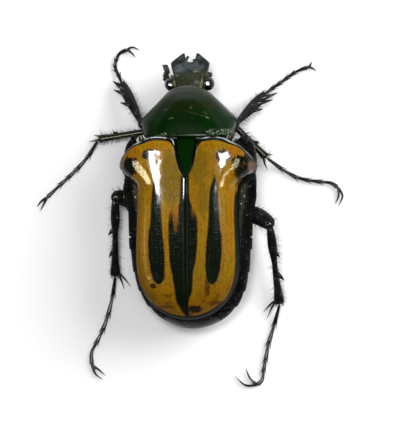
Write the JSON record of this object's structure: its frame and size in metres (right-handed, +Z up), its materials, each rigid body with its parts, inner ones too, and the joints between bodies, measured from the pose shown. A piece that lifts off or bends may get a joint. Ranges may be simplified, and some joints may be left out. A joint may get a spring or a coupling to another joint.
{
  "type": "flower chafer beetle model",
  "caption": "Still, life-size display model of a Madagascan flower chafer beetle with folded wing cases and spread legs, standing on its feet.",
  "frame": {"origin": "middle of the model's outline, on the floor that its feet stand on", "axes": "+Y from tail to head along the body, +X to the beetle's right, +Z up"},
  "size_m": [0.0282, 0.0312, 0.0085],
  "materials": {
    "wing_case": "polished horny shell, amber yellow with dark green stripes",
    "green_shield": "polished very dark green",
    "black_body": "glossy black, finely pitted",
    "head": "dark grey green, pitted, half gloss",
    "eye": "very glossy near black",
    "feeler": "dull dark brown",
    "leg": "glossy black"
  },
  "bodies": {
    "root": {"wing_case_left": "wing_case", "wing_case_right": "wing_case", "scutellum": "green_shield", "pronotum": "green_shield", "thorax": "black_body", "abdomen": "black_body", "pygidium": "black_body", "prosternum": "black_body", "head": "head", "mouthparts": "head", "eye_left": "eye", "eye_right": "eye", "antenna_left": "feeler", "antenna_right": "feeler", "front_left_femur": "leg", "front_left_tibia": "leg", "front_left_tarsus": "leg", "front_right_femur": "leg", "front_right_tibia": "leg", "front_right_tarsus": "leg", "middle_left_femur": "leg", "middle_left_tibia": "leg", "middle_left_tarsus": "leg", "middle_right_femur": "leg", "middle_right_tibia": "leg", "middle_right_tarsus": "leg", "hind_left_femur": "leg", "hind_left_tibia": "leg", "hind_left_tarsus": "leg", "hind_right_femur": "leg", "hind_right_tibia": "leg", "hind_right_tarsus": "leg"}
  },
  "joints": []
}
